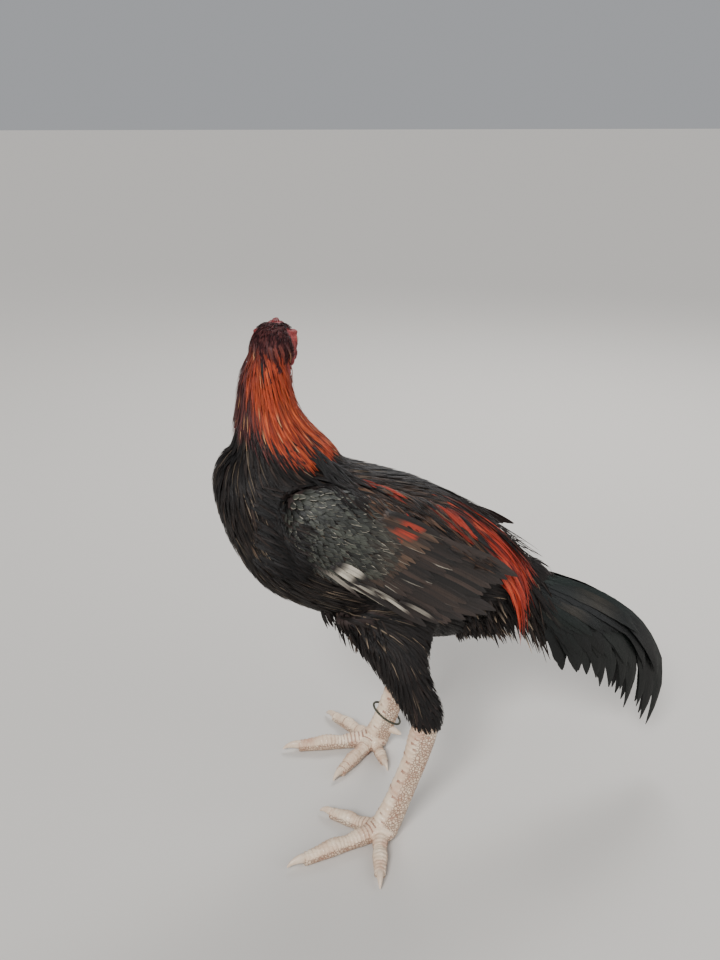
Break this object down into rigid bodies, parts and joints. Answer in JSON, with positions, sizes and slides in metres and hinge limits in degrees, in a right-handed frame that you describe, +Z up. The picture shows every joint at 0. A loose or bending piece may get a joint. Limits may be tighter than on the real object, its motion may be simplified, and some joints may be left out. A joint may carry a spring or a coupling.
{
  "type": "aseel gamecock",
  "caption": "Life-size still model of a standing Aseel gamecock with red hackles, black plumage, drooping tail and its head turned over its shoulder.",
  "frame": {"origin": "on the floor, under the middle of the bird's bounding box", "axes": "the bird faces -X, its left side is at -Y, +Z up"},
  "size_m": [0.5156, 0.3268, 0.5547],
  "materials": {
    "black_plumage": "black to dark brown body plumage, soft",
    "red_hackle": "orange-red hackle, silky",
    "wing_plumage": "dark brown wing plumage with red patches, satin",
    "tail_plumage": "black tail plumage with a green sheen",
    "head_skin": "bare pebbled red skin",
    "comb_skin": "rough red pea comb",
    "beak_horn": "pale horn, satin",
    "eye_pearl": "pearl iris, wet gloss",
    "leg_scale": "pale cream-pink rough scales",
    "claw_horn": "pale horn, satin",
    "ring_rubber": "dark dull band"
  },
  "bodies": {
    "root": {"beak_lower": "beak_horn", "beak_upper": "beak_horn", "claw_hind_left": "claw_horn", "claw_hind_right": "claw_horn", "claw_inner_left": "claw_horn", "claw_inner_right": "claw_horn", "claw_middle_left": "claw_horn", "claw_middle_right": "claw_horn", "claw_outer_left": "claw_horn", "claw_outer_right": "claw_horn", "comb": "comb_skin", "eye_left": "eye_pearl", "eye_right": "eye_pearl", "foot_left": "leg_scale", "foot_right": "leg_scale", "head": "head_skin", "leg_ring": "ring_rubber", "neck": "red_hackle", "shank_left": "leg_scale", "shank_right": "leg_scale", "spur_left": "claw_horn", "spur_right": "claw_horn", "tail": "tail_plumage", "thigh_left": "black_plumage", "thigh_right": "black_plumage", "toe_hind_left": "leg_scale", "toe_hind_right": "leg_scale", "toe_inner_left": "leg_scale", "toe_inner_right": "leg_scale", "toe_middle_left": "leg_scale", "toe_middle_right": "leg_scale", "toe_outer_left": "leg_scale", "toe_outer_right": "leg_scale", "torso": "black_plumage", "wing_left": "wing_plumage", "wing_right": "wing_plumage"}
  },
  "joints": []
}
